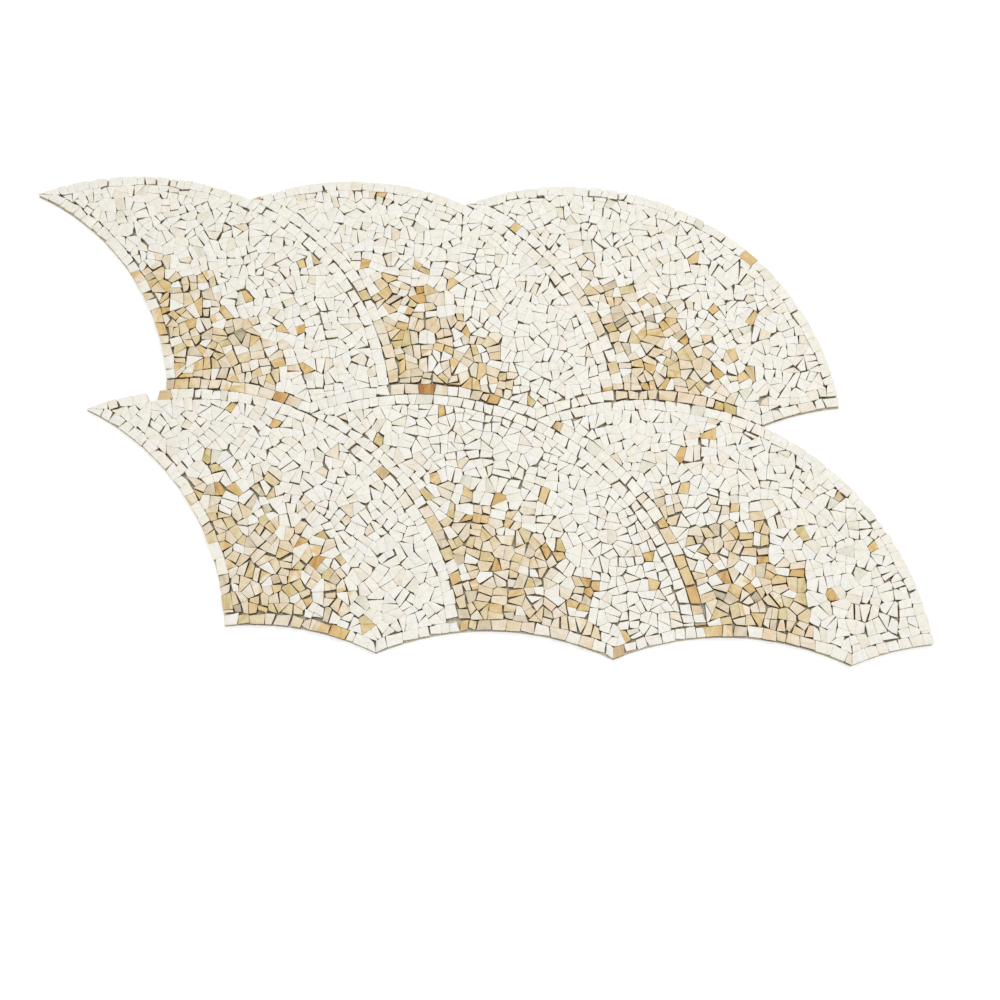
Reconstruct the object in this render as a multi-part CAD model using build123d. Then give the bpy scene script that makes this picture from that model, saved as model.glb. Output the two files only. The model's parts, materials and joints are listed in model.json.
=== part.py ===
from build123d import *
import cmath
import math
import os
import random

# Sizes in millimetres

FAN_PITCH = 250.0        # from one fan to the next along a row
ROW_PITCH = 263.0        # from one row of fans to the next
ROW_SHIFT = 87.0         # sideways step of the lower row
ARC_RADIUS = 302.0       # every curved edge of a fan
STONE_THICKNESS = 6.8    # marble chips
MESH_THICKNESS = 1.2     # glass-fibre net that carries the chips, with its adhesive
SEAM = 0.8               # between two fans
JOINT = 0.2              # between two chips
BORDER_DEPTH = 11.8      # mean depth of the chips laid along the edges of a fan
BORDER_STEP = 1.2        # most that a border chip is deeper or shallower than that
BORDER_LENGTH = 13.5     # mean length of a border chip
BORDER_LEAN = 2.8        # how far the joints of the border lean, at their inner ends
STONE_SPACING = 17.5     # between the middles of the stones that the field chips are broken from
LARGEST_CHIP = 170.0     # square millimetres, a larger stone is broken again
SMALLEST_CHIP = 14.0     # square millimetres, a smaller scrap is left out
FOURTH_CORNER = 1.0      # a chip has four corners where the lowest stands this high
FIFTH_CORNER = 1.6       # and five where it stands this high
LARGEST_NIP = 2.3        # most that is knocked off a corner
LOST_CHIP_AT = 77.0      # along the top edge of the lower left fan
GOLD_RADIUS = 182.0      # of the gold part of a fan
GOLD_SHIFT = 13.0        # of its middle, to the right of the centre of the top arc
GOLD_BLEND = 12.0        # depth over which gold gives way to white

# Shares, multiples and powers

LENGTH_SPREAD = 0.4      # share by which the lengths of the border chips vary
PLACE_SPREAD = 0.36      # share of the spacing by which the stones stray
EDGE_SPACE = 0.1         # share of the spacing, least from the border to the middle of a stone
BORDER_RARITY = 4        # power that makes large nips rare in the border
FIELD_RARITY = 10        # and in the field
NIP_LIMIT = 0.45         # share of the height of a corner, most that is knocked off
SPLIT_TURN = 0.2         # radians, spread of the cut through a stone that is too large
TORN_NET = 1.4           # how far the hole in the net under the lost chip reaches, in depths of that chip
GOLD_SHARE = 0.82        # share of gold chips in the heart of the gold part of a fan
GOLD_STRAY = 0.035       # share of single gold chips among the white

ROW_NAMES = ("upper", "lower")
COLUMN_NAMES = ("left", "middle", "right")

# Plan of one fan, with its tip at zero. Positions are complex numbers, x + y * 1j.

ACROSS = complex(FAN_PITCH, 0)
DOWN = complex(ROW_SHIFT, -ROW_PITCH)
CENTRE = complex(FAN_PITCH / 2, -math.sqrt(ARC_RADIUS ** 2 - FAN_PITCH ** 2 / 4))
SLANT = ACROSS + DOWN
SWING = math.sqrt(ARC_RADIUS ** 2 - abs(SLANT) ** 2 / 4)

TIP = complex(0, 0)
RIGHT = CENTRE + SLANT / 2 + 1j * SLANT / abs(SLANT) * SWING
POINT = SLANT
LEFT = RIGHT - ACROSS


class FanEdge:
    """Curved edge of a fan, from one corner to the next, clockwise round the fan."""

    def __init__(self, start, end, centre, bulge, runs_through):
        self.start = start
        self.end = end
        self.centre = centre
        self.bulge = bulge                  # 1 where the fan bulges out, -1 where it is hollow
        self.runs_through = runs_through    # its border goes right into the corners

    def inward(self, place):
        """Direction into the fan at a place near the edge."""
        out = place - self.centre
        return -self.bulge * out / abs(out)

    def depth(self, place):
        """How far inside the edge a place lies."""
        return self.bulge * (ARC_RADIUS - abs(place - self.centre))

    def at(self, angle, depth):
        """Place at an angle round the arc and a depth inside the edge."""
        return self.centre + cmath.rect(ARC_RADIUS - self.bulge * depth, angle)

    def foot(self, place, depth):
        """Place at that depth, nearest to another place."""
        return self.at(cmath.phase(place - self.centre), depth)


TOP = FanEdge(TIP, RIGHT, CENTRE, 1, False)
LOWER_RIGHT = FanEdge(RIGHT, POINT, CENTRE + SLANT, -1, True)
LOWER_LEFT = FanEdge(POINT, LEFT, CENTRE + DOWN, -1, True)
SIDE = FanEdge(LEFT, TIP, CENTRE - ACROSS, -1, False)
EDGES = (TOP, LOWER_RIGHT, LOWER_LEFT, SIDE)


# Polygons, listed anticlockwise

def sides(polygon):
    """Pairs of corners that follow each other."""
    return zip(polygon, polygon[1:] + polygon[:1])


def measure(polygon):
    """Area and centroid of a polygon."""
    area = 0
    moment = 0
    for a, b in sides(polygon):
        cross = (a.conjugate() * b).imag
        area += cross / 2
        moment += (a + b) * cross / 6
    return area, moment / area if area else TIP


def clip(polygon, place, keep):
    """Part of a convex polygon on the kept side of a line."""
    kept = []
    for a, b in sides(polygon):
        height_a = ((a - place) * keep.conjugate()).real
        height_b = ((b - place) * keep.conjugate()).real
        if height_a >= 0:
            kept.append(a)
        if height_a * height_b < 0:
            kept.append(a + (b - a) * height_a / (height_a - height_b))
    return kept


def corner_heights(polygon):
    """How far each corner stands above the line between its neighbours."""
    heights = []
    for k, corner in enumerate(polygon):
        before = polygon[k - 1]
        chord = polygon[(k + 1) % len(polygon)] - before
        heights.append(-((corner - before) * chord.conjugate()).imag / abs(chord))
    return heights


# Chips

def nip(polygon, rarity, rng):
    """Chip cut from its share of the plan: few corners, each knocked back a little."""
    for a, b in sides(list(polygon)):
        keep = 1j * (b - a) / abs(b - a)
        polygon = clip(polygon, a + keep * JOINT / 2, keep)
    corner_limits = {4: FOURTH_CORNER, 5: FIFTH_CORNER}
    while len(polygon) > 3:
        heights = corner_heights(polygon)
        lowest = heights.index(min(heights))
        if heights[lowest] > corner_limits.get(len(polygon), math.inf):
            break
        polygon = polygon[:lowest] + polygon[lowest + 1:]
    area, middle = measure(polygon)
    if area < SMALLEST_CHIP:
        return None
    chip = []
    for corner, height in zip(polygon, corner_heights(polygon)):
        loss = min(LARGEST_NIP * rng.random() ** rarity, NIP_LIMIT * height)
        chip.append(corner + (middle - corner) / abs(middle - corner) * loss)
    return chip


def border_joints(edge, rng):
    """Joints of the border along one edge, each as its outer and its inner end."""
    first, last = (cmath.phase(corner - edge.centre) for corner in (edge.start, edge.end))
    count = max(3, round(abs(last - first) * ARC_RADIUS / BORDER_LENGTH))
    lengths = [rng.uniform(1 - LENGTH_SPREAD, 1 + LENGTH_SPREAD) for _ in range(count)]
    joints = []
    for n in range(count + 1):
        angle = first + (last - first) * sum(lengths[:n]) / sum(lengths)
        lean = rng.uniform(-BORDER_LEAN, BORDER_LEAN) / ARC_RADIUS
        depth = BORDER_DEPTH + rng.uniform(-BORDER_STEP, BORDER_STEP)
        joints.append((edge.at(angle, (SEAM - JOINT) / 2), edge.at(angle + lean, depth)))
    return joints


def corner_cut(edge, other, corner):
    """Line that ends a border at a corner: a place on it and the side that is kept."""
    own = edge.inward(corner)
    beside = other.inward(corner)
    if edge.runs_through == other.runs_through:
        return corner, (beside - own) / abs(beside - own)
    if edge.runs_through:
        return corner + beside * (SEAM - JOINT) / 2, beside
    return corner + beside * (BORDER_DEPTH + BORDER_STEP), beside


def border_chips(border, rng):
    """Chips along each edge of a fan."""
    reach = 2 * BORDER_LENGTH
    for k, (edge, joints) in enumerate(zip(EDGES, border)):
        ends = ((edge.start, EDGES[k - 1]), (edge.end, EDGES[(k + 1) % len(EDGES)]))
        for (outer, inner), (next_outer, next_inner) in zip(joints, joints[1:]):
            chip = [outer, next_outer, next_inner, inner]
            if measure(chip)[0] < 0:
                chip.reverse()
            for corner, other in ends:
                if abs((outer + next_outer) / 2 - corner) < reach:
                    chip = clip(chip, *corner_cut(edge, other, corner))
            if len(chip) > 2:
                yield nip(chip, BORDER_RARITY, rng)


def field_stones(rng):
    """Uneven stones that cover a fan, each around one place of a loose, turned grid inside the border."""
    turn = cmath.rect(STONE_SPACING, rng.uniform(0, math.pi / 2))
    middle = (TIP + RIGHT + POINT + LEFT) / 4
    reach = math.ceil(ARC_RADIUS / STONE_SPACING)
    least_depth = BORDER_DEPTH + EDGE_SPACE * STONE_SPACING
    places = []
    for row in range(-reach, reach + 1):
        for column in range(-reach, reach + 1):
            stray = PLACE_SPREAD * complex(rng.uniform(-1, 1), rng.uniform(-1, 1))
            place = middle + turn * (complex(column, row) + stray)
            in_box = TIP.real < place.real < RIGHT.real and POINT.imag < place.imag
            if in_box and min(edge.depth(place) for edge in EDGES) > least_depth:
                places.append(place)
    near = 2 * STONE_SPACING
    for place in places:
        stone = [place + near * corner for corner in (-1 - 1j, 1 - 1j, 1 + 1j, -1 + 1j)]
        for other in places:
            if 0 < abs(other - place) < 2 * near:
                stone = clip(stone, (place + other) / 2, place - other)
        for edge in EDGES:
            stone = clip(stone, edge.foot(place, BORDER_DEPTH - BORDER_STEP), edge.inward(place))
        yield stone


def inside_border(chip, border):
    """Part of a field chip that the border chips beside it leave free."""
    for joints in border:
        for (_, inner), (_, next_inner) in zip(joints, joints[1:]):
            along = next_inner - inner
            shares = [((corner - inner) / along).real for corner in chip]
            if chip and min(shares) < 1 and max(shares) > 0:
                chip = clip(chip, inner, -1j * along)
    return chip


def broken(stone, rng):
    """Break a stone across its longest side, and again, until each part is one chip."""
    area, middle = measure(stone)
    if area < LARGEST_CHIP:
        return [stone]
    a, b = max(sides(stone), key=lambda side: abs(side[1] - side[0]))
    across = cmath.rect(1, cmath.phase(b - a) + rng.gauss(0, SPLIT_TURN))
    return broken(clip(stone, middle, across), rng) + broken(clip(stone, middle, -across), rng)


def field_chips(border, rng):
    """Broken chips that fill a fan inside its border."""
    for stone in field_stones(rng):
        for chip in broken(stone, rng):
            chip = inside_border(chip, border)
            if len(chip) > 2:
                yield nip(chip, FIELD_RARITY, rng)


def stone_of(chip, rng):
    """Gold or white, by how near the chip lies to the heart of the gold part."""
    away = abs(measure(chip)[1] - CENTRE - GOLD_SHIFT)
    share = GOLD_STRAY + GOLD_SHARE / (1 + math.exp((away - GOLD_RADIUS) / GOLD_BLEND))
    return "gold" if rng.random() < share else "white"


# Lay out the fans and sort their chips by stone and by place

lost = TOP.foot(TIP + complex(LOST_CHIP_AT, 0), BORDER_DEPTH / 2)
sheet = {}
tips = []
for row, row_name in enumerate(ROW_NAMES):
    for column, column_name in enumerate(COLUMN_NAMES):
        rng = random.Random(f"{row_name} {column_name}")
        tip = column * ACROSS + row * DOWN
        tips.append(tip)
        border = [border_joints(edge, rng) for edge in EDGES]
        fan = [("border", chip) for chip in border_chips(border, rng) if chip]
        fan += [("field", chip) for chip in field_chips(border, rng) if chip]
        if (row_name, column_name) == ("lower", "left"):
            gap = min(fan, key=lambda item: abs(measure(item[1])[1] - lost))
            fan.remove(gap)
            inner_end = TOP.foot(lost, BORDER_DEPTH)
            hole = [tip + inner_end + TORN_NET * (corner - inner_end) for corner in gap[1]]
        for place, chip in fan:
            name = f"{row_name}_{column_name}_{stone_of(chip, rng)}_{place}"
            sheet.setdefault(name, []).append([corner + tip for corner in chip])


# Solids

def fan_face(tip):
    """Outline of one fan."""
    arcs = []
    for edge in EDGES:
        halfway = edge.foot((edge.start + edge.end) / 2, 0)
        ends = [tip + place for place in (edge.start, halfway, edge.end)]
        arcs.append(Edge.make_three_point_arc(*[Vector(place.real, place.imag) for place in ends]))
    return Face(Wire(arcs))


def plan_face(corners, height):
    """Flat face with these corners."""
    return Face(Wire.make_polygon([Vector(corner.real, corner.imag, height) for corner in corners]))


os.makedirs("parts", exist_ok=True)

outline = Sketch() + [fan_face(tip) for tip in tips] - plan_face(hole, 0)
middle = outline.bounding_box().center()
net = Pos(-middle.X, -middle.Y) * extrude(outline, MESH_THICKNESS, dir=(0, 0, 1))
export_step(net, "parts/mesh_backing.step")

origin = complex(middle.X, middle.Y)
for name, chips in sheet.items():
    faces = [plan_face([corner - origin for corner in chip], MESH_THICKNESS) for chip in chips]
    solids = [Solid.extrude(face, Vector(0, 0, STONE_THICKNESS)) for face in faces]
    export_step(Compound(solids), f"parts/{name}.step", write_pcurves=False)
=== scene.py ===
"""Marble mosaic tile: interlocking fans of hand-cut white and gold marble chips on a glass-fibre net."""
import bmesh
import bpy
import json
import math
import random
from types import SimpleNamespace

from mathutils import Matrix, Vector
from mathutils.bvhtree import BVHTree


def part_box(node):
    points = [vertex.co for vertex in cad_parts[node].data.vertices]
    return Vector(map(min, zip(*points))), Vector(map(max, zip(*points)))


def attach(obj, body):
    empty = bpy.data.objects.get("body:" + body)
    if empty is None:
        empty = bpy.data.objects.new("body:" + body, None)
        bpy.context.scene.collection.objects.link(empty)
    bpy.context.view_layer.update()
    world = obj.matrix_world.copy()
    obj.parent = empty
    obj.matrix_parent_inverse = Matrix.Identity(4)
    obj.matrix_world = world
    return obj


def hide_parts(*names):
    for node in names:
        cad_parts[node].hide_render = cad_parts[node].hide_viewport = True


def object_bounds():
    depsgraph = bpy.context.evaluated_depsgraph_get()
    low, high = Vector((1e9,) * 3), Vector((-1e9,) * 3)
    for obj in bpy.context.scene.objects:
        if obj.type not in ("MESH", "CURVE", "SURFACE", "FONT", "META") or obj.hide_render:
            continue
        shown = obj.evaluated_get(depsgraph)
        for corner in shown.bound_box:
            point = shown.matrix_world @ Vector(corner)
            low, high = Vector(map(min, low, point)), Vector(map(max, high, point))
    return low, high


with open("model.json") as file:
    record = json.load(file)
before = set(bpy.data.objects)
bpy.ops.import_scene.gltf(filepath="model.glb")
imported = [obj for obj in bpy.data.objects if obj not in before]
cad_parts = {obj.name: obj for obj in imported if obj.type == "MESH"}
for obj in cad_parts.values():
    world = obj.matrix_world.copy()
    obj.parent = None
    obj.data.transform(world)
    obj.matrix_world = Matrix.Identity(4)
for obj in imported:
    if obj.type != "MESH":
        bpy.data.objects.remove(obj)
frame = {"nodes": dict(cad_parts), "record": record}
cad_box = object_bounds()

MM = 0.001

# Chips, in millimetres
WELD = 0.01                    # corners of the CAD mesh nearer than this are one
CORNER_ROUND = (0.15, 0.7)     # cut off each corner in plan
CORNER_SLIP = (0.3, 2.5)       # how far a corner is cut back along one side, mostly the least
EDGE_WOBBLE = 0.14             # how far the nipped sides wander inward
LONG_SIDE = 11.5               # a side longer than this wanders at one more place
ARRIS_WIDTH = (0.07, 0.2)      # worn edge round the face
ARRIS_DROP = (0.06, 0.2)       # its height
FACE_SINK = 0.35               # most that a face lies below the highest
FOOT_TAPER = 0.6               # most that a chip narrows towards the net
BREAK_DEPTH = 0.5              # most that a broken side is hollow, halfway down

# Joints and places in the sheet, in millimetres
JOINT_REACH = 1.4              # joints narrower than this are closed up
JOINT_START = 0.05             # outside a chip, where the measure of its joint begins
OPEN_SEAMS = ((226, -174), (10, 8))  # places where the fans lie a little apart
OPEN_REACH = 75.0              # how far from these the seams are open
STRAY_REACH = 22.0             # a stray gold chip has few others as near as this
RUSTY_PLACE = (-36, 21)        # of the one rust-brown chip
RUSTY_REACH = 7.0

# Chips, in shares, multiples and angles
ROUND_LIMIT = 0.25             # most of a side that is rounded at each end
SLIP_LIMIT = 0.3               # most of a side that is cut back
BORDER_CARE = 0.5              # times the usual share of corners is cut back on border chips
ARRIS_WEAR = (0.6, 1.4)        # times the arris, round a chip
ARRIS_SHOULDER = (0.4, 0.35)   # of its width and height, where the arris bends
SPALL_CHANCE = 0.3             # chips with a larger flake off one side
SPALL_SIZE = (2.5, 6.0)        # times the arris there
HALFWAY = (0.4, 0.6)           # of a side's height, where it is hollow
SHADE = (0.965, 1.015)         # times the tint of a stone
STRAY_COUNT = 4                # gold chips near a chip that isn't a stray
FACE_TILT = 0.018              # radians, spread of the lean of a face
FACING_UP = 0.9                # least upward part of the normal of a chip's face
FLAT_ANGLE = 1                 # degrees, faces of the CAD mesh within this are one
SHARP_ANGLE = 28               # degrees between faces that meet in a sharp edge

# Setting, in metres, watts and shares of full white
FLOOR_COLOUR = 0.86
FLOOR_GLOW = 0.3               # added to the floor that the camera sees
FLOOR_REACH = 10.0
FLOOR_DROP = 0.00005           # below the sheet
WORLD_LEVEL = 0.6
LAMP_SIZE = 3.7
LAMP_POWER = 84.0
LAMP_PLACE = (0.5, 0.83, 4.0)

# Camera, fitted to the photograph
CAMERA_AZIMUTH = 1.67          # degrees
CAMERA_ELEVATION = 74.45
CAMERA_ROLL = -0.13
CAMERA_DISTANCE = 1.3515       # metres from the point it looks at
CAMERA_LOOKS_AT = (0.0444, -0.1065)
CAMERA_LENS = 44.8             # millimetres
CAMERA_SENSOR = 36.0


def srgb(red, green, blue):
    """Linear colour of a screen colour given as 0 to 255."""
    values = []
    for value in (red, green, blue):
        share = value / 255
        values.append(share / 12.92 if share <= 0.04045 else ((share + 0.055) / 1.055) ** 2.4)
    return (*values, 1.0)


# Marbles: stones are a tint, the tint of their bands, and how common they are
WHITE = SimpleNamespace(
    stones=(
        (srgb(246, 244, 236), srgb(243, 240, 231), 9),
        (srgb(246, 243, 232), srgb(242, 237, 223), 5),
        (srgb(245, 244, 238), srgb(239, 238, 230), 4),
        (srgb(246, 241, 232), srgb(241, 233, 221), 2.0),
        (srgb(242, 236, 222), srgb(233, 222, 202), 0.8),
        (srgb(232, 230, 215), srgb(218, 215, 197), 0.3),
    ),
    banding=0.10,                  # moves the share of each face that is banded
    side_dust_and_shade=srgb(248, 237, 210),      # warm tint of dust and painted shade on the cut sides, fuller deeper down
    adhesive_stain_and_shade=srgb(168, 148, 110),     # adhesive stain and painted shade, on the sides lower down
    stain_and_shade_depth=3.0,               # millimetres below the face where it starts
    slips=0.27,                    # share of corners cut back
    closed=0.97,                   # share of the narrow joints that is closed up
)
GOLD = SimpleNamespace(
    stones=(
        (srgb(239, 229, 210), srgb(231, 216, 191), 6),
        (srgb(235, 219, 187), srgb(225, 203, 160), 5),
        (srgb(242, 228, 205), srgb(235, 212, 180), 2),
        (srgb(232, 207, 157), srgb(218, 184, 120), 2.0),
        (srgb(227, 211, 167), srgb(211, 188, 128), 2.0),
        (srgb(226, 214, 190), srgb(209, 194, 162), 1.8),
        (srgb(244, 236, 219), srgb(229, 197, 138), 1.6),
        (srgb(220, 183, 116), srgb(195, 147, 80), 0.5),
        (srgb(196, 186, 160), srgb(164, 153, 122), 0.2),
    ),
    banding=0.18,
    # dust and painted shade on the cut sides, darker for gold
    side_dust_and_shade=srgb(200, 170, 118),
    # adhesive stain and painted shade lower on the sides, near black-brown for gold
    adhesive_stain_and_shade=srgb(74, 52, 28),
    stain_and_shade_depth=1.6,
    slips=0.5,
    closed=0.4,
)

# Gold chips that lie apart from the rest, and the one rust-brown chip
STRAY_STONES = (
    (srgb(243, 237, 223), srgb(238, 228, 208), 6),
    (srgb(240, 230, 211), srgb(234, 219, 192), 5),
    (srgb(232, 206, 152), srgb(219, 185, 120), 2.5),
    (srgb(230, 198, 134), srgb(211, 169, 100), 2),
    (srgb(226, 209, 158), srgb(206, 184, 122), 1.2),
    (srgb(222, 198, 156), srgb(202, 170, 122), 1.2),
)
RUSTY_STONES = ((srgb(208, 156, 88), srgb(172, 112, 54), 1),)

# Net: two mottled tints of the adhesive, painted as shade where chips hem the net in, two of the bare
# ground, and the yarns
ADHESIVE_AND_PAINTED_SHADE = (srgb(146, 124, 86), srgb(122, 98, 64))
BARE_NET = (srgb(216, 206, 178), srgb(232, 224, 200))
YARN = srgb(236, 234, 226)

# Patterns of the materials, as noise scales for places in metres
BAND_SCALE = 102
CLOUD_SCALE = 252
VEIN_SCALE = 66
GRAIN_SCALE = 1600
MOTTLE_SCALE = 60

# Depths below the face and sizes of the net, in millimetres
SIDE_DUST_AND_SHADE_DEPTH = (0.4, 3.0)        # where the dust and painted shade on the sides starts and is full
STAIN_AND_SHADE_FADE = 3.0               # over which the stain and painted shade comes in
STAIN_AND_SHADE_WANDER = 2.0             # most that its edge goes up and down
NET_PITCH = 5.0
YARN_HALF = (0.75, 0.45)       # from the outside of a yarn to its full thickness
PAINTED_SHADE_REACH = 6.0               # net that chips as near as this hem in takes the adhesive tint as painted shade


# Helpers for materials

def new_material(name):
    """Material with an empty Principled shader, and a function that adds linked nodes to it."""
    material = bpy.data.materials.new(name)
    material.use_nodes = True
    tree = material.node_tree

    def node(kind, **inputs):
        """Node with its inputs set or linked, each by its name or by i and its number."""
        made = tree.nodes.new(kind)
        for key, value in inputs.items():
            where = int(key[1:]) if key[0] == "i" and key[1:].isdigit() else key.replace("_", " ")
            if isinstance(value, bpy.types.NodeSocket):
                tree.links.new(value, made.inputs[where])
            else:
                made.inputs[where].default_value = value
        return made

    return material, node, tree.nodes["Principled BSDF"], tree.links


def math_node(node, operation, first, second=0.0):
    """Result of one sum."""
    made = node("ShaderNodeMath", i0=first, i1=second)
    made.operation = operation
    return made.outputs[0]


def ramp(node, value, low, high):
    """0 below low, 1 above high, and smooth between."""
    made = node("ShaderNodeMapRange", Value=value, From_Min=low, From_Max=high)
    made.interpolation_type = "SMOOTHSTEP"
    return made.outputs["Result"]


def mix(node, share, first, second, blend="MIX"):
    """Blend of two colours."""
    made = node("ShaderNodeMix")
    made.data_type = "RGBA"
    made.blend_type = blend
    tree = made.id_data
    for socket, value in ((made.inputs[0], share), (made.inputs[6], first), (made.inputs[7], second)):
        if isinstance(value, bpy.types.NodeSocket):
            tree.links.new(value, socket)
        else:
            socket.default_value = value
    return made.outputs[2]


def attribute(node, name):
    """Node that reads a value stored on each chip."""
    made = node("ShaderNodeAttribute")
    made.attribute_name = name
    return made


def noise(node, place, scale, detail=3.0, roughness=0.55, distortion=0.0):
    """Cloudy pattern from 0 to 1."""
    made = node("ShaderNodeTexNoise", Vector=place, Scale=scale, Detail=detail, Roughness=roughness,
                Distortion=distortion)
    return made.outputs["Fac"]


# Materials

def marble(name, kind, face_height):
    """Honed marble: each chip has its own two tints, banded in its own direction, and cut sides with dust
    and painted shade, darkening to an adhesive stain and painted shade lower down.
    """
    material, node, shader, links = new_material(name)
    where = node("ShaderNodeTexCoord").outputs["Object"]
    own = attribute(node, "cut").outputs["Vector"]
    moved = node("ShaderNodeVectorMath", i0=where, i1=own).outputs[0]
    angle = attribute(node, "turn").outputs["Fac"]
    turned = node("ShaderNodeVectorRotate", Vector=moved, Angle=angle).outputs[0]
    stretched = node("ShaderNodeMapping", Vector=turned, Scale=(1.0, 0.3, 0.6)).outputs[0]

    tint = attribute(node, "tint").outputs["Color"]
    band = attribute(node, "band").outputs["Color"]
    layers = noise(node, stretched, BAND_SCALE, 4, 0.6, 0.6)
    colour = mix(node, ramp(node, layers, 0.62 - kind.banding, 0.78 - kind.banding), tint, band)
    clouds = noise(node, turned, CLOUD_SCALE, 4, 0.6)
    clouded = mix(node, 1.0, colour, srgb(245, 241, 232), "MULTIPLY")
    colour = mix(node, ramp(node, clouds, 0.35, 0.75), colour, clouded)
    cracks = math_node(node, "SUBTRACT", noise(node, stretched, VEIN_SCALE, 5, 0.6, 1.2), 0.5)
    line = math_node(node, "ABSOLUTE", cracks)
    veins = math_node(node, "MULTIPLY", ramp(node, line, 0.018, 0.0), 0.22)
    colour = mix(node, veins, colour, band)

    height = node("ShaderNodeSeparateXYZ", Vector=where).outputs["Z"]
    depth = math_node(node, "SUBTRACT", face_height, height)
    # painted shade: the cut sides take the dust tint deeper below the face
    side_dust_and_shade = ramp(node, depth, SIDE_DUST_AND_SHADE_DEPTH[0] * MM, SIDE_DUST_AND_SHADE_DEPTH[1] * MM)
    colour = mix(node, math_node(node, "MULTIPLY", side_dust_and_shade, 0.85), colour, kind.side_dust_and_shade)
    # painted shade: the sides darken to the adhesive stain tint deeper below the face, most in the gold
    # joints
    stain_and_shade_depths = math_node(node, "ADD", depth, math_node(node, "MULTIPLY", clouds, STAIN_AND_SHADE_WANDER * MM))
    stained_and_shaded = ramp(node, stain_and_shade_depths, kind.stain_and_shade_depth * MM, (kind.stain_and_shade_depth + STAIN_AND_SHADE_FADE) * MM)
    colour = mix(node, stained_and_shaded, colour, kind.adhesive_stain_and_shade)
    links.new(colour, shader.inputs["Base Color"])

    grain = noise(node, turned, GRAIN_SCALE, 3, 0.6)
    links.new(ramp(node, grain, -0.6, 2.2), shader.inputs["Roughness"])
    shader.inputs["Specular IOR Level"].default_value = 0.35
    pits = node("ShaderNodeBump", Strength=0.25, Distance=0.08 * MM, Height=grain).outputs[0]
    links.new(pits, shader.inputs["Normal"])
    return material


def netting(name):
    """Glass-fibre net: its brown adhesive tint is painted shade, put by ambient occlusion where chips hem
    it in, and the net is bare where it lies open.
    """
    material, node, shader, links = new_material(name)
    where = node("ShaderNodeTexCoord").outputs["Object"]
    axes = node("ShaderNodeSeparateXYZ", Vector=where).outputs
    yarns = []
    for axis in ("X", "Y"):
        across = math_node(node, "PINGPONG", axes[axis], NET_PITCH / 2 * MM)
        yarns.append(ramp(node, across, YARN_HALF[0] * MM, YARN_HALF[1] * MM))
    net = math_node(node, "MAXIMUM", *yarns)
    patches = noise(node, where, MOTTLE_SCALE, 4, 0.6)
    mottle = ramp(node, patches, 0.35, 0.7)
    bare = mix(node, net, mix(node, mottle, *BARE_NET), YARN)
    # painted shade: ambient occlusion gives the net the dark adhesive tint where chips hem it in
    glued_and_shaded = mix(node, mottle, *ADHESIVE_AND_PAINTED_SHADE)
    shade = node("ShaderNodeAmbientOcclusion", Distance=PAINTED_SHADE_REACH * MM)
    shade.samples = 8
    unshaded_open = ramp(node, shade.outputs["AO"], 0.2, 0.4)
    links.new(mix(node, unshaded_open, glued_and_shaded, bare), shader.inputs["Base Color"])
    shader.inputs["Roughness"].default_value = 0.7
    raised = math_node(node, "ADD", net, math_node(node, "MULTIPLY", patches, 0.4))
    bump = node("ShaderNodeBump", Strength=0.6, Distance=0.3 * MM, Height=raised).outputs[0]
    links.new(bump, shader.inputs["Normal"])
    return material


# Chips

def outlines_of(node_name):
    """Plan outlines of the chips in a CAD node, anticlockwise, in millimetres."""
    mesh = bmesh.new()
    mesh.from_mesh(frame["nodes"][node_name].data)
    bmesh.ops.remove_doubles(mesh, verts=mesh.verts, dist=WELD * MM)
    bmesh.ops.dissolve_limit(mesh, angle_limit=math.radians(FLAT_ANGLE), verts=mesh.verts, edges=mesh.edges)
    faces = [face for face in mesh.faces if face.normal.z > FACING_UP]
    outlines = [[vert.co.xy / MM for vert in face.verts] for face in faces]
    mesh.free()
    return outlines


def centre(outline):
    """Middle of the corners."""
    return sum(outline, Vector((0, 0))) / len(outline)


def walls_of(node_names):
    """Search tree of the CAD chips, in millimetres."""
    verts = []
    faces = []
    for name in node_names:
        mesh = frame["nodes"][name].data
        first = len(verts)
        verts += [vert.co / MM for vert in mesh.vertices]
        faces += [[first + number for number in face.vertices] for face in mesh.polygons]
    return BVHTree.FromPolygons(verts, faces)


def growth(place, outward, height, closed, walls):
    """How far a side reaches into a narrow joint: half of it where the joint is closed."""
    start = Vector((*(place + outward * JOINT_START), height))
    neighbour, _, _, distance = walls.ray_cast(start, outward.to_3d(), JOINT_REACH)
    if neighbour is None:
        return 0.0
    apart = max(math.exp(-((place - Vector(seam)).length / OPEN_REACH) ** 2) for seam in OPEN_SEAMS)
    return 0.5 * (distance + JOINT_START) * closed * (1 - apart)


def hand_cut(outline, height, slips, closed, walls, rng):
    """Outline with closed joints, some corners cut back, and sides that wander a little."""
    middle = centre(outline)
    following = outline[1:] + outline[:1]
    cut = []
    for k, corner in enumerate(outline):
        other = rng.choice((following[k], outline[k - 1]))
        slip = rng.triangular(*CORNER_SLIP, CORNER_SLIP[0]) if rng.random() < slips else 0.0
        length = (other - corner).length
        cut.append(corner + (other - corner) * min(slip / length, SLIP_LIMIT))
    points = []
    for k, (corner, after) in enumerate(zip(outline, following)):
        length = (after - corner).length
        outward = Vector((after.y - corner.y, corner.x - after.x)) / length
        start = min(rng.uniform(*CORNER_ROUND) / length, ROUND_LIMIT)
        end = 1 - min(rng.uniform(*CORNER_ROUND) / length, ROUND_LIMIT)
        spans = 2 if length < LONG_SIDE else 3
        for n in range(spans + 1):
            share = start + (end - start) * n / spans
            reach = growth(corner.lerp(after, share), outward, height, closed, walls)
            place = cut[k].lerp(cut[(k + 1) % len(cut)], share)
            points.append(place + outward * (reach - rng.random() ** 2 * EDGE_WOBBLE))
    return points, middle


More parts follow.
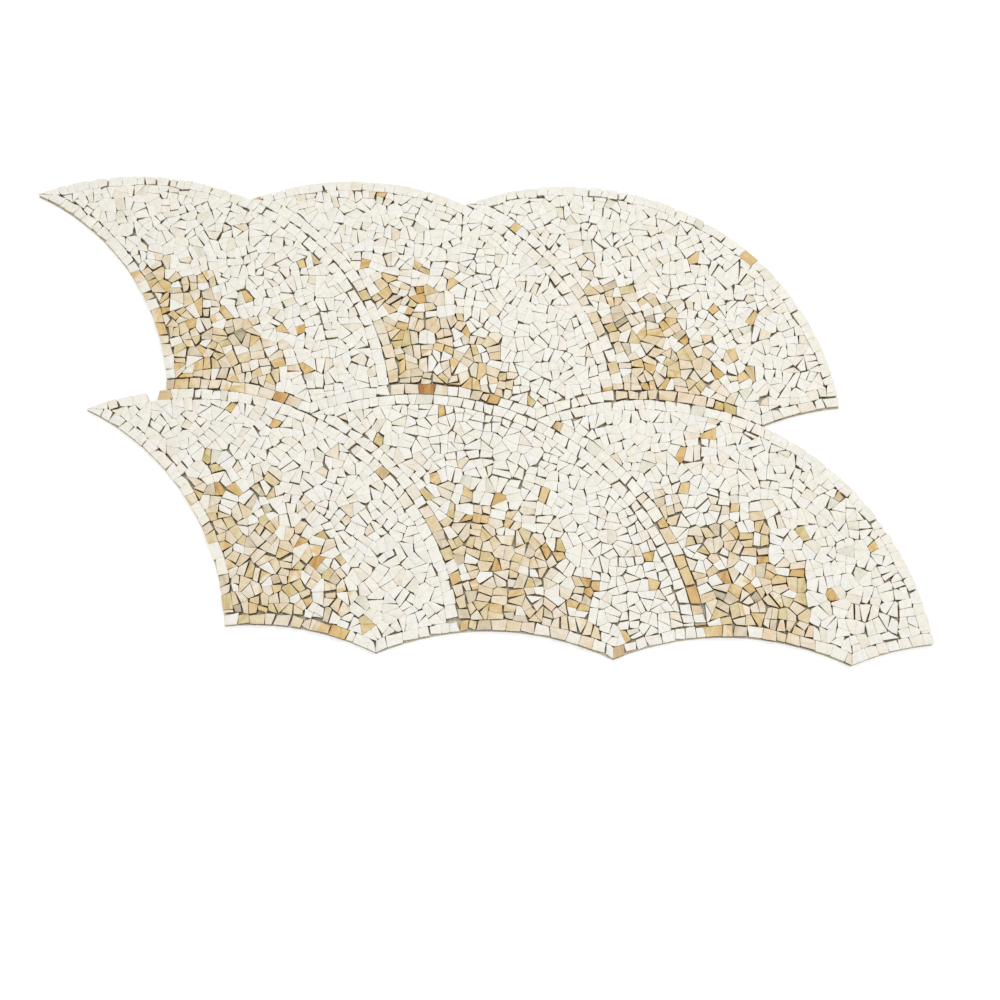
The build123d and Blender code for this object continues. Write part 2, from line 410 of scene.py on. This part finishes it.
class ChipMesh:
    """Mesh of many chips, with the tints of each."""

    def __init__(self):
        self.verts = []
        self.faces = []
        self.tint = []
        self.band = []
        self.cut = []
        self.turn = []

    def ring(self, points, middle, insets, heights):
        """Verts in from the points by the insets and at the heights, and the number of the first."""
        first = len(self.verts)
        for point, inset, height in zip(points, insets, heights):
            place = point + (middle - point).normalized() * inset
            self.verts.append((place.x * MM, place.y * MM, height * MM))
        return first

    def add(self, outline, kind, stones, care, foot, face, walls, rng):
        """One chip: broken sides that taper to the foot, a worn arris and a face that leans a little."""
        points, middle = hand_cut(outline, (foot + face) / 2, kind.slips * care, kind.closed, walls, rng)
        count = len(points)
        lean = Vector((rng.gauss(0, FACE_TILT), rng.gauss(0, FACE_TILT)))
        rise = [lean.dot(point - middle) for point in points]
        top = face - FACE_SINK * rng.random() ** 1.5 - max(rise)
        surface = [top + height for height in rise]
        width = rng.uniform(*ARRIS_WIDTH)
        drop = rng.uniform(*ARRIS_DROP)
        wear = [rng.uniform(*ARRIS_WEAR) for _ in points]
        if rng.random() < SPALL_CHANCE:
            first = rng.randrange(count)
            for n in range(rng.choice((2, 3))):
                wear[(first + n) % count] = rng.uniform(*SPALL_SIZE)
        taper = rng.uniform(0, FOOT_TAPER)
        hollow = [taper / 2 + rng.uniform(0, BREAK_DEPTH) for _ in points]
        lowest, highest = (share * face + (1 - share) * foot for share in HALFWAY)
        halfway = [rng.uniform(lowest, highest) for _ in points]
        shoulder_in = [ARRIS_SHOULDER[0] * width * share for share in wear]
        shoulder = [level - ARRIS_SHOULDER[1] * drop * share for level, share in zip(surface, wear)]
        arris = [level - drop * share for level, share in zip(surface, wear)]

        rings = (
            self.ring(points, middle, [taper] * count, [foot] * count),
            self.ring(points, middle, hollow, halfway),
            self.ring(points, middle, [0.0] * count, arris),
            self.ring(points, middle, shoulder_in, shoulder),
            self.ring(points, middle, [width * share for share in wear], surface),
        )
        first_face = len(self.faces)
        for low, high in zip(rings, rings[1:]):
            for k in range(count):
                after = (k + 1) % count
                self.faces.append((low + k, low + after, high + after, high + k))
        self.faces.append(tuple(range(rings[-1], rings[-1] + count)))
        self.faces.append(tuple(reversed(range(rings[0], rings[0] + count))))

        tint, band, _ = rng.choices(stones, [stone[2] for stone in stones])[0]
        shade = rng.uniform(*SHADE)
        made = len(self.faces) - first_face
        self.tint += [(tint[0] * shade, tint[1] * shade, tint[2] * shade, 1.0)] * made
        self.band += [band] * made
        self.cut += [(rng.uniform(-1, 1), rng.uniform(-1, 1), rng.uniform(-1, 1))] * made
        self.turn += [rng.uniform(0, math.tau)] * made

    def build(self, name, material):
        """Blender object of the chips."""
        mesh = bpy.data.meshes.new(name)
        mesh.from_pydata(self.verts, [], self.faces)
        stored = (("tint", "FLOAT_COLOR", "color", self.tint), ("band", "FLOAT_COLOR", "color", self.band),
                  ("cut", "FLOAT_VECTOR", "vector", self.cut), ("turn", "FLOAT", "value", self.turn))
        for key, kind, field, values in stored:
            flat = values if field == "value" else [number for value in values for number in value]
            mesh.attributes.new(key, kind, "FACE").data.foreach_set(field, flat)
        mesh.materials.append(material)
        mesh.shade_smooth()
        mesh.set_sharp_from_angle(angle=math.radians(SHARP_ANGLE))
        made = bpy.data.objects.new(name, mesh)
        bpy.context.scene.collection.objects.link(made)
        return made


def gold_stones(outline, gold_places):
    """Stones that a gold chip may be cut from, by where it lies."""
    place = centre(outline)
    if (place - Vector(RUSTY_PLACE)).length < RUSTY_REACH:
        return RUSTY_STONES
    near = sum((other - place).length < STRAY_REACH for other in gold_places)
    return STRAY_STONES if near < STRAY_COUNT else GOLD.stones


def lay_chips():
    """A dressed piece in place of each CAD node of chips."""
    kinds = {"white_marble": WHITE, "gold_marble": GOLD}
    materials = {slot: marble(slot, kind, cad_box[1][2]) for slot, kind in kinds.items()}
    slots = {part["node"]: part["material_slot"] for part in frame["record"]["subparts"]}
    laid = [name for name, slot in slots.items() if slot in kinds]
    walls = walls_of(laid)
    outlines = {name: outlines_of(name) for name in laid}
    gold_nodes = [name for name in laid if kinds[slots[name]] is GOLD]
    gold_places = [centre(outline) for name in gold_nodes for outline in outlines[name]]
    for name in laid:
        slot = slots[name]
        kind = kinds[slot]
        low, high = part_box(name)
        care = BORDER_CARE if name.endswith("border") else 1.0
        chips = ChipMesh()
        for outline in outlines[name]:
            rng = random.Random(f"{outline[0].x:.2f} {outline[0].y:.2f}")
            stones = gold_stones(outline, gold_places) if kind is GOLD else kind.stones
            chips.add(outline, kind, stones, care, low[2] / MM, high[2] / MM, walls, rng)
        piece = chips.build(name + "_chips", materials[slot])
        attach(piece, "root")
        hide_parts(name)


def dress_net():
    """Material of the net under the chips."""
    mesh = frame["nodes"]["mesh_backing"].data
    mesh.materials.clear()
    mesh.materials.append(netting("glass_fibre_mesh"))


# Setting

def lay_floor():
    """Pale floor that is white to the camera and keeps the shadow."""
    material, node, shader, links = new_material("floor")
    shader.inputs["Base Color"].default_value = (FLOOR_COLOUR, FLOOR_COLOUR, FLOOR_COLOUR, 1.0)
    shader.inputs["Roughness"].default_value = 0.9
    shader.inputs["Specular IOR Level"].default_value = 0.0
    rays = node("ShaderNodeLightPath").outputs
    seen = math_node(node, "MAXIMUM", rays["Is Camera Ray"], rays["Is Glossy Ray"])
    shader.inputs["Emission Color"].default_value = (1.0, 1.0, 1.0, 1.0)
    links.new(math_node(node, "MULTIPLY", seen, FLOOR_GLOW), shader.inputs["Emission Strength"])
    mesh = bpy.data.meshes.new("floor")
    reach = FLOOR_REACH
    corners = [(-reach, -reach, 0), (reach, -reach, 0), (reach, reach, 0), (-reach, reach, 0)]
    mesh.from_pydata(corners, [], [(0, 1, 2, 3)])
    mesh.materials.append(material)
    floor = bpy.data.objects.new("floor", mesh)
    floor.location.z = -FLOOR_DROP
    bpy.context.scene.collection.objects.link(floor)


def light():
    """White surroundings and one large soft lamp above."""
    world = bpy.data.worlds.new("studio")
    world.use_nodes = True
    background = world.node_tree.nodes["Background"]
    background.inputs["Color"].default_value = (1.0, 1.0, 1.0, 1.0)
    rays = world.node_tree.nodes.new("ShaderNodeLightPath").outputs
    level = world.node_tree.nodes.new("ShaderNodeMapRange")
    level.inputs["To Min"].default_value = WORLD_LEVEL
    world.node_tree.links.new(rays["Is Camera Ray"], level.inputs["Value"])
    world.node_tree.links.new(level.outputs["Result"], background.inputs["Strength"])
    bpy.context.scene.world = world
    lamp = bpy.data.lights.new("key", "AREA")
    lamp.shape = "RECTANGLE"
    lamp.size = LAMP_SIZE
    lamp.size_y = LAMP_SIZE
    lamp.energy = LAMP_POWER
    key = bpy.data.objects.new("key", lamp)
    key.location = LAMP_PLACE
    key.rotation_euler = (-key.location).to_track_quat("-Z", "Y").to_euler()
    bpy.context.scene.collection.objects.link(key)


def aim_camera():
    """Camera at the photograph's place."""
    azimuth, elevation, roll = (math.radians(v) for v in (CAMERA_AZIMUTH, CAMERA_ELEVATION, CAMERA_ROLL))
    back = Vector((math.sin(azimuth) * math.cos(elevation), -math.cos(azimuth) * math.cos(elevation),
                   math.sin(elevation)))
    right = Vector((math.cos(azimuth), math.sin(azimuth), 0))
    up = back.cross(right)
    rolled_right = right * math.cos(roll) + up * math.sin(roll)
    rolled_up = up * math.cos(roll) - right * math.sin(roll)
    axes = Matrix((rolled_right, rolled_up, back))
    place = Vector((*CAMERA_LOOKS_AT, cad_box[1][2])) + back * CAMERA_DISTANCE
    lens = bpy.data.cameras.new("camera")
    lens.lens = CAMERA_LENS
    lens.sensor_width = CAMERA_SENSOR
    lens.clip_start = 0.01
    camera = bpy.data.objects.new("camera", lens)
    camera.matrix_world = Matrix.Translation(place) @ axes.transposed().to_4x4()
    bpy.context.scene.collection.objects.link(camera)
    bpy.context.scene.camera = camera


lay_chips()
dress_net()
lay_floor()
light()
aim_camera()
bpy.context.scene.view_settings.view_transform = "Standard"
